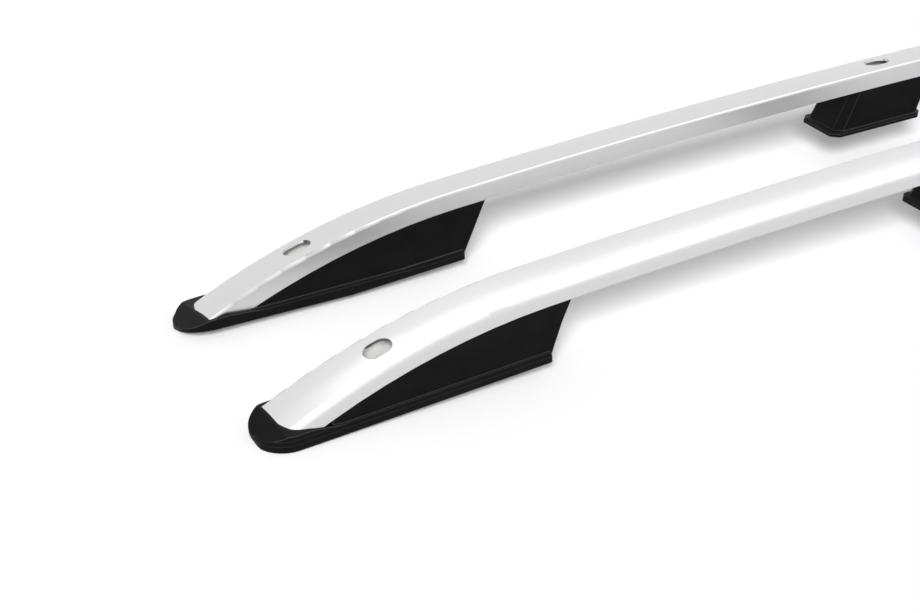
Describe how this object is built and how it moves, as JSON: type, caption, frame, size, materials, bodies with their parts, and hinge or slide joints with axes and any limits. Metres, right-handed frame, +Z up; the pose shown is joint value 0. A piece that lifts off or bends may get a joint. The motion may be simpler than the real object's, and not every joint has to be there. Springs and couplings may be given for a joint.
{
  "type": "roof side rail pair",
  "caption": "Pair of mirror-image bent hollow roof side rails, each on a front, a middle and a rear moulded foot with bolt sleeves reached through slots.",
  "frame": {"origin": "middle of the pair at the level of the lowest underside of the end feet", "axes": "+X along the rails towards their rear ends, +Y from the left rail to the right rail, +Z up from the roof"},
  "size_m": [1.5189, 0.2628, 0.0909],
  "materials": {
    "rail_aluminium": "satin anodised",
    "foot_plastic": "fine textured",
    "gasket_rubber": "matte",
    "sleeve_steel": "zinc plated",
    "screw_steel": "zinc plated"
  },
  "bodies": {
    "root": {"left_rail": "rail_aluminium", "right_rail": "rail_aluminium", "left_front_foot": "foot_plastic", "left_middle_foot": "foot_plastic", "left_rear_foot": "foot_plastic", "right_front_foot": "foot_plastic", "right_middle_foot": "foot_plastic", "right_rear_foot": "foot_plastic", "left_front_gasket": "gasket_rubber", "left_middle_gasket": "gasket_rubber", "left_rear_gasket": "gasket_rubber", "right_front_gasket": "gasket_rubber", "right_middle_gasket": "gasket_rubber", "right_rear_gasket": "gasket_rubber", "left_front_sleeve": "sleeve_steel", "left_middle_sleeve": "sleeve_steel", "left_rear_sleeve": "sleeve_steel", "right_front_sleeve": "sleeve_steel", "right_middle_sleeve": "sleeve_steel", "right_rear_sleeve": "sleeve_steel", "left_front_screws": "screw_steel", "left_middle_screws": "screw_steel", "left_rear_screws": "screw_steel", "right_front_screws": "screw_steel", "right_middle_screws": "screw_steel", "right_rear_screws": "screw_steel"}
  },
  "joints": []
}
